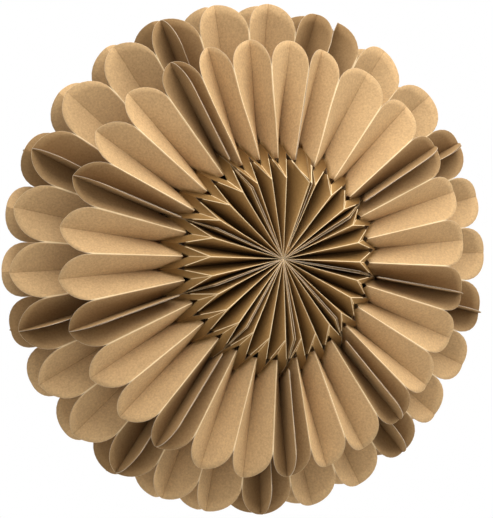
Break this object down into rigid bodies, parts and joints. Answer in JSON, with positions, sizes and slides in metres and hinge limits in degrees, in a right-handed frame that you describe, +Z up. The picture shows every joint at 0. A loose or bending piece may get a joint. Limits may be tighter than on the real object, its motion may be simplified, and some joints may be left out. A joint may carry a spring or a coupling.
{
  "type": "paper star lantern",
  "caption": "Hanging paper rosette of pleated kraft sheets, with a raised folded star and two tiers of round petals on each side.",
  "frame": {"origin": "centre of the rosette's bounding box, on its axis in the middle plane", "axes": "the front looks along -Y, +Z is up as hung, +X is to the right as seen from the front"},
  "size_m": [0.4998, 0.1916, 0.4996],
  "materials": {
    "kraft_paper": "matt, uncoated"
  },
  "bodies": {
    "root": {"front_star_1": "kraft_paper", "front_star_2": "kraft_paper", "front_star_3": "kraft_paper", "front_star_4": "kraft_paper", "front_star_5": "kraft_paper", "front_star_6": "kraft_paper", "front_star_7": "kraft_paper", "front_star_8": "kraft_paper", "front_star_9": "kraft_paper", "front_outer_1": "kraft_paper", "front_outer_2": "kraft_paper", "front_outer_3": "kraft_paper", "front_outer_4": "kraft_paper", "front_outer_5": "kraft_paper", "front_outer_6": "kraft_paper", "front_outer_7": "kraft_paper", "front_outer_8": "kraft_paper", "front_outer_9": "kraft_paper", "rear_outer_1": "kraft_paper", "rear_outer_2": "kraft_paper", "rear_outer_3": "kraft_paper", "rear_outer_4": "kraft_paper", "rear_outer_5": "kraft_paper", "rear_outer_6": "kraft_paper", "rear_outer_7": "kraft_paper", "rear_outer_8": "kraft_paper", "rear_outer_9": "kraft_paper", "rear_star_1": "kraft_paper", "rear_star_2": "kraft_paper", "rear_star_3": "kraft_paper", "rear_star_4": "kraft_paper", "rear_star_5": "kraft_paper", "rear_star_6": "kraft_paper", "rear_star_7": "kraft_paper", "rear_star_8": "kraft_paper", "rear_star_9": "kraft_paper", "seam_wall_1": "kraft_paper", "seam_wall_2": "kraft_paper", "seam_wall_3": "kraft_paper", "seam_wall_4": "kraft_paper", "seam_wall_5": "kraft_paper", "seam_wall_6": "kraft_paper", "seam_wall_7": "kraft_paper", "seam_wall_8": "kraft_paper", "seam_wall_9": "kraft_paper", "closing_tab": "kraft_paper"}
  },
  "joints": []
}
